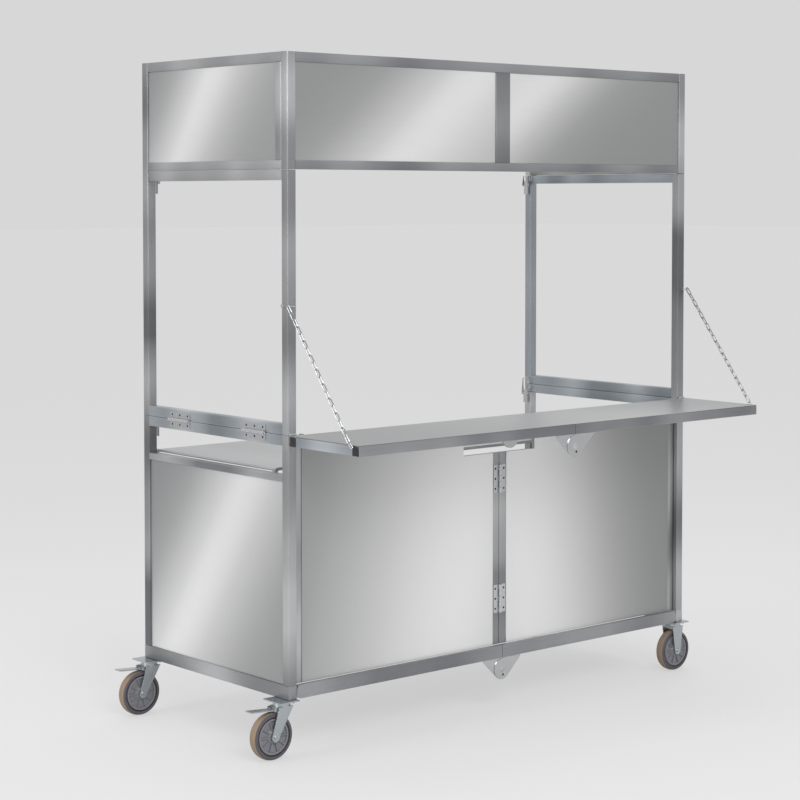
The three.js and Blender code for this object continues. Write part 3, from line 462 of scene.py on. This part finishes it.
# the step keeps each leaf's free end under the rear rails while the stall folds
leaf = {"x0": 29.5, "x1": 799.25, "z0": 39.3, "z1": 690.0, "stepX": 655.0, "stepZ": 611.8,
        "stile": 28.0, "bar": 20.0, "y0": 15.0, "y1": 28.0}
shelf = {"front": -300.0, "rear": -6.5, "z0": 694.0, "z1": 722.0, "end": 799.25, "plug": (-0.9, 1.0)}
for side in ("left", "right"):
    x0, x1, z0, z1, stepX, stepZ = [leaf[k] for k in ("x0", "x1", "z0", "z1", "stepX", "stepZ")]
    stile, cross, y0, y1 = leaf["stile"], leaf["bar"], leaf["y0"], leaf["y1"]
    inner0, inner1 = x0 + stile, x1 - stile
    leafParts = [
        bar(x0, inner0, y0, y1, z0, z1, 2, 0),
        bar(inner1, x1, y0, y1, z0, stepZ, 2, 0),
        bar(inner0, inner1, y0 + 0.2, y1 - 0.2, z0, z0 + cross, 0, 1),
        bar(inner0, stepX, y0 + 0.2, y1 - 0.2, z1 - cross, z1, 0, 1),
        bar(stepX - cross, stepX, y0 + 0.2, y1 - 0.2, stepZ - cross, z1 - cross, 2, 1),
        bar(stepX, inner1, y0 + 0.2, y1 - 0.2, stepZ - cross, stepZ, 0, 1),
    ]
    node = side + "_leaf_frame"
    dress(node, makeObject(node + "_tubes", sided(side, leafParts), ["stile", "tubeX"]))
    dress(node, fittings(node, sidedBoxes(side, [(x0, x1, y0, y1, z0, z1)]), "bright"))
    f, r, s0, s1, e = shelf["front"], shelf["rear"], shelf["z0"], shelf["z1"], shelf["end"]
    shelfParts = [
        bar(0, e, f, f + tube, s0, s1, 0, 0),
        bar(0, e, r - tube, r, s0, s1, 0, 0),
        bar(0, tube, f + tube, r - tube, s0 + 0.2, s1 - 0.2, 1, 1),
        bar(e - tube, e, f + tube, r - tube, s0 + 0.2, s1 - 0.2, 1, 1),
        bar(*shelf["plug"], f + 1, f + tube - 1, s0 + 1, s1 - 1, 0, 2, 1.5, 0.4),
        bar(*shelf["plug"], r - tube + 1, r - 1, s0 + 1, s1 - 1, 0, 2, 1.5, 0.4),
    ]
    node = side + "_shelf_frame"
    dress(node, makeObject(node + "_tubes", sided(side, shelfParts), ["tubeX", "mill", "plug"]))
    dress(node, fittings(node, sidedBoxes(side, [(0, e, f, r, s0, s1)]), "bright"))

# ---- rivets and lock holes of the disc hinges

disc = {"rivet": 6.5, "rise": 2.2, "hole": 3.4, "holeDrop": 17.0, "collar": 9.5}


def rivetHead(x, z, faceY, way):
    # a collar, then a low dome, turned about Y; way is -1 towards the front
    r, h, c = disc["rivet"], disc["rise"] * way, disc["collar"]
    profile = [(0.0, 0.02), (0.0, c), (h * 0.25, c * 0.96), (h * 0.3, r),
               (h * 0.75, r * 0.8), (h, r * 0.4), (h, 0.02)]
    return facing(turnedPart(profile, (x, faceY, z), 1, 0, 24), way)


def lockHole(x, z, faceY, way):
    r, h = disc["hole"], 0.25 * way
    return facing(turnedPart([(0.0, 0.02), (0.0, r), (h, r), (h, 0.02)], (x, faceY, z), 1, 1, 16), way)


for node, z, faceY in (("right_floor_disc_plate", -34.0, 0.0), ("right_shelf_disc_plate", 660.0, -300.0)):
    heads = [rivetHead(800.0, z, faceY, -1), lockHole(803.0, z - disc["holeDrop"], faceY, -1)]
    dress(node, makeObject(node + "_rivet", heads, ["bright", "bore"]))

# ---- screws on the butt hinges

print("screws")
screw = {"radius": 3.3, "rise": 0.9, "endY": (11.0, 49.0, 87.0), "endStarts": (101.0, 461.0),
         "centreZ": (12.0, 42.0, 72.0), "centreStarts": (134.0, 492.0)}


def screwHead(centre, axis, way):
    # a low dome with a shallow dimple, turned about its axis
    r, h = screw["radius"], screw["rise"] * way
    profile = [(0.0, 0.02), (0.0, r), (h * 0.55, r * 0.86),
               (h, r * 0.45), (h * 0.7, r * 0.2), (h * 0.6, 0.02)]
    return facing(turnedPart(profile, centre, axis, 0, 14), way)


for side in ("left", "right"):
    for node, rise in ((side + "_lower_frame", -13.5), (side + "_upper_frame", 14.5)):
        heads = [screwHead((endFrame["screwX"], start + y, 723.15 + rise), 0, -1)
                 for start in screw["endStarts"] for y in screw["endY"]]
        dress(node, makeObject(node + "_screws", sided(side, heads), ["bore"]))
    node = side + "_leaf_frame"
    heads = [screwHead((783.0, 13.2, start + z), 1, -1)
             for start in screw["centreStarts"] for z in screw["centreZ"]]
    dress(node, makeObject(node + "_screws", sided(side, heads), ["bore"]))

# ---- chains

print("chains")
chainSettings = {"x": -6.0, "top": (-9.0, 1073.0), "foot": (-268.0, 726.5), "wire": 3.4, "width": 12.6,
                 "pitch": 23.0, "overlap": 2.5}


def linkPart(centre, along, across, inner, wide, wire, pick=0, around=8, steps=7):
    # a round wire carried along a stadium: two half circles of the same bend joined by straights
    bend = (wide - wire) / 2
    straight = (inner + wire) / 2 - bend
    angle = np.linspace(-math.pi / 2, math.pi / 2, steps)
    end = np.repeat([1.0, -1.0], steps)
    a = np.tile(angle, 2)
    out = end[:, None] * (np.cos(a)[:, None] * along + np.sin(a)[:, None] * across)
    path = centre + end[:, None] * straight * along + out * bend
    normal = np.cross(along, across)
    turn = np.linspace(0, 2 * math.pi, around, endpoint=False)
    points = (path[:, None, :] + (wire / 2) * (np.cos(turn)[None, :, None] * out[:, None, :]
              + np.sin(turn)[None, :, None] * normal[None, None, :]))
    faces = ringFaces(len(path), around, True)
    return points.reshape(-1, 3), [face[::-1] for face in faces], pick


for side in ("left", "right"):
    top = np.array([chainSettings["x"], *chainSettings["top"]])
    foot = np.array([chainSettings["x"], *chainSettings["foot"]])
    along = (foot - top) / np.linalg.norm(foot - top)
    sideways = np.array([1.0, 0.0, 0.0])
    upward = np.cross(along, sideways)
    wire = chainSettings["wire"]
    overlap = chainSettings["overlap"]
    reach = np.linalg.norm(foot - top) + overlap - wire
    count = round(reach / chainSettings["pitch"])
    pitch = reach / count
    parts = []
    for i in range(count):
        across = upward if i % 2 == 0 else sideways
        centre = top + along * ((i + 0.5) * pitch - overlap)
        parts.append(linkPart(centre, along, across, pitch, chainSettings["width"], wire))
    hookAlong = np.array([0.0, -0.72, -0.69])
    hookAlong /= np.linalg.norm(hookAlong)
    parts.append(linkPart(foot + hookAlong * 4.6, hookAlong, np.cross(hookAlong, sideways), 12.5, 8.4, 1.8))
    node = side + "_chain"
    dress(node, makeObject(node + "_links", sided(side, parts), ["chain"]))

# ---- casters

print("casters")
wheel = {"ribs": 10, "axleZ": -95.0, "treadFrom": 62.6, "ringTo": 55.0}
casters = [
    ("left_front", -40.0, 28.0), ("left_rear", -40.0, 672.0),
    ("right_front", 1587.0, 28.0), ("right_rear", 1587.0, 672.0),
]


def hubRibs(centre):
    # ten flat ribs a side, each a bar turned about the axle by its share of a full turn
    parts = []
    for i in range(wheel["ribs"]):
        angle = 2 * math.pi * i / wheel["ribs"]
        for side in (-1, 1):
            y0, y1 = sorted((side * 9.5, side * 14.6))
            points, faces, pick = bar(13.0, 47.0, y0, y1, -1.7, 1.7, 0, 0, 0.8)
            turned = points.copy()
            turned[:, 0] = points[:, 0] * math.cos(angle) - points[:, 2] * math.sin(angle)
            turned[:, 2] = points[:, 0] * math.sin(angle) + points[:, 2] * math.cos(angle)
            parts.append((turned + np.array(centre), faces, pick))
    return parts


for corner, x, y in casters:
    centre = (x, y, wheel["axleZ"])
    t = np.linspace(-math.pi / 2, math.pi / 2, 15)
    crown = np.stack([15.2 * np.sin(t), 58.5 + 6.4 * np.cos(t) ** 0.75], axis=1)
    tyreLoop = np.concatenate([crown, [[14.6, 54.0], [13.2, 50.4], [-13.2, 50.4], [-14.6, 54.0]]])
    tyreObj = makeObject(corner + "_tyre", [turnedPart(tyreLoop[::-1], centre, 1, 0, 64, True)], ["tyre"])
    tyreObj.data.materials.append(finish["tread"])
    tyreObj.data.materials.append(finish["ring"])
    flat = np.zeros(len(tyreObj.data.polygons) * 3)
    tyreObj.data.polygons.foreach_get("center", flat)
    away = toBuild(flat.reshape(-1, 3)) - np.array(centre)
    radial = np.hypot(away[:, 0], away[:, 2])
    picks = np.where(radial > wheel["treadFrom"], 1, np.where(radial < wheel["ringTo"], 2, 0))
    tyreObj.data.polygons.foreach_set("material_index", picks)
    dress(corner + "_wheel_tyre", tyreObj)
    dress(corner + "_wheel_hub", fittings(corner + "_wheel_hub", [], "hub", 0.8))
    dress(corner + "_wheel_hub", makeObject(corner + "_hub_ribs", hubRibs(centre), ["hub"]))

# ---- the rest keeps its CAD form with softened edges

print("sheets and fittings")
plainPieces = {
    "sheet": (["left_counter_flap", "right_counter_flap", "canopy_roof"], 0.35),
    "shelfTop": (["left_shelf_sheet", "right_shelf_sheet"], 0.3),
    "leafLeft": (["left_leaf_panel"], 0.35),
    "leafRight": (["right_leaf_panel"], 0.35),
    "endLow": (["left_lower_panel", "right_lower_panel"], 0.35),
    "endHigh": (["canopy_left_end_panel", "canopy_right_end_panel"], 0.3),
    "canopyLeft": (["canopy_left_front_panel"], 0.3),
    "canopyRight": (["canopy_right_front_panel"], 0.3),
    "tubeX": (["left_front_floor_rail", "left_rear_floor_rail", "right_front_floor_rail",
               "right_rear_floor_rail"], 0.9),
    "bright": ([side + "_" + piece for side in ("left", "right") for piece in (
        "shelf_hanger", "lower_latch_lever", "lower_latch_loop", "upper_latch_lever",
        "upper_latch_loop", "floor_disc_plate", "shelf_disc_plate")], 0.35),
    "zinc": ([corner + piece for piece in ("_caster_plate", "_caster_fork") for corner, _, _ in casters]
             + ["left_front_brake_pedal", "left_rear_brake_pedal"], 0.5),
}
for finishName, (names, soft) in plainPieces.items():
    for node in names:
        dress(node, fittings(node, [], finishName, soft))

# ---- floor, backdrop, lamps and camera

print("studio")
studio = {"floor": "#dcdcdc", "seen": "#e9e9e9", "plainShare": 0.6, "floorSize": 80.0,
          "key": 115.0, "fill": 48.0, "world": 0.78, "worldColor": "#f2f2f2", "worldSeen": "#d7d7d7"}


def studioMaterial():
    # the floor shows its own pale colour, and keeps the shadow
    material, tree = startMaterial("Studio floor")
    shader = addNode(tree, "ShaderNodeBsdfPrincipled", sockets={
        "Base Color": linear(studio["floor"]), "Roughness": 0.7, "Specular IOR Level": 0.2,
    })
    glow = addNode(tree, "ShaderNodeEmission", sockets={"Color": linear(studio["seen"]), "Strength": 1.0})
    rayKind = addNode(tree, "ShaderNodeLightPath")
    part = addNode(tree, "ShaderNodeMath", {"operation": "MULTIPLY"},
                   links={0: rayKind.outputs["Is Camera Ray"]})
    part.inputs[1].default_value = studio["plainShare"]
    mix = addNode(tree, "ShaderNodeMixShader", links={"Fac": part.outputs["Value"]})
    tree.links.new(shader.outputs["BSDF"], mix.inputs[1])
    tree.links.new(glow.outputs["Emission"], mix.inputs[2])
    addNode(tree, "ShaderNodeOutputMaterial", links={"Surface": mix.outputs["Shader"]})
    return material


size = studio["floorSize"]
floorMesh = bpy.data.meshes.new("floor")
floorCorners = [(-size, -size, 0), (size, -size, 0), (size, size, 0), (-size, size, 0)]
floorMesh.from_pydata(floorCorners, [], [(0, 1, 2, 3)])
floorMesh.materials.append(studioMaterial())
floorObj = bpy.data.objects.new("floor", floorMesh)
bpy.context.scene.collection.objects.link(floorObj)


def areaLamp(name, place, aim, power, across):
    data = bpy.data.lights.new(name, "AREA")
    data.energy = power
    data.shape = "RECTANGLE"
    data.size = across[0]
    data.size_y = across[1]
    lamp = bpy.data.objects.new(name, data)
    lamp.location = place
    direction = np.array(aim) - np.array(place)
    yaw = math.atan2(direction[1], direction[0]) - math.pi / 2
    tilt = math.atan2(direction[2], math.hypot(direction[0], direction[1])) + math.pi / 2
    lamp.rotation_euler = (tilt, 0.0, yaw)
    bpy.context.scene.collection.objects.link(lamp)


areaLamp("key softbox", (-1.8, -4.2, 3.6), (0, 0, 0.9), studio["key"], (2.6, 2.0))
areaLamp("side softbox", (-4.6, 0.8, 2.4), (0, 0, 0.9), studio["fill"], (2.0, 2.2))
areaLamp("top softbox", (0.4, 0.6, 4.4), (0, 0, 0.5), studio["fill"], (3.4, 2.2))

world = bpy.data.worlds.new("pale studio")
bpy.context.scene.world = world
world.use_nodes = True
worldTree = world.node_tree
worldTree.nodes.clear()
ray = addNode(worldTree, "ShaderNodeLightPath")
plain = addNode(worldTree, "ShaderNodeBackground",
                sockets={"Color": linear(studio["worldColor"]), "Strength": studio["world"]})
seen = addNode(worldTree, "ShaderNodeBackground",
               sockets={"Color": linear(studio["worldSeen"]), "Strength": 1.0})
blend = addNode(worldTree, "ShaderNodeMixShader", links={"Fac": ray.outputs["Is Camera Ray"]})
worldTree.links.new(plain.outputs["Background"], blend.inputs[1])
worldTree.links.new(seen.outputs["Background"], blend.inputs[2])
addNode(worldTree, "ShaderNodeOutputWorld", links={"Surface": blend.outputs["Shader"]})

cameraSettings = {"lens": 91.8, "shiftX": -0.0014, "shiftY": -0.1425, "plan": (0.653, 0.757), "pitch": 2.5,
                  "fromCorner": (-3.354, -4.355), "height": 1.528}
cornerX, cornerY = toRow([[0.0, 0.0, 0.0]])[0][:2]
cameraData = bpy.data.cameras.new("photo view")
cameraData.lens = cameraSettings["lens"]
cameraData.sensor_width = 36.0
cameraData.shift_x = cameraSettings["shiftX"]
cameraData.shift_y = cameraSettings["shiftY"]
camera = bpy.data.objects.new("photo view", cameraData)
camera.location = (cornerX + cameraSettings["fromCorner"][0], cornerY + cameraSettings["fromCorner"][1],
                   cameraSettings["height"])
plan = cameraSettings["plan"]
yaw = math.atan2(plan[1], plan[0]) - math.pi / 2
camera.rotation_euler = (math.radians(90 - cameraSettings["pitch"]), 0.0, yaw)
bpy.context.scene.collection.objects.link(camera)
bpy.context.scene.camera = camera
bpy.context.scene.view_settings.view_transform = "Standard"
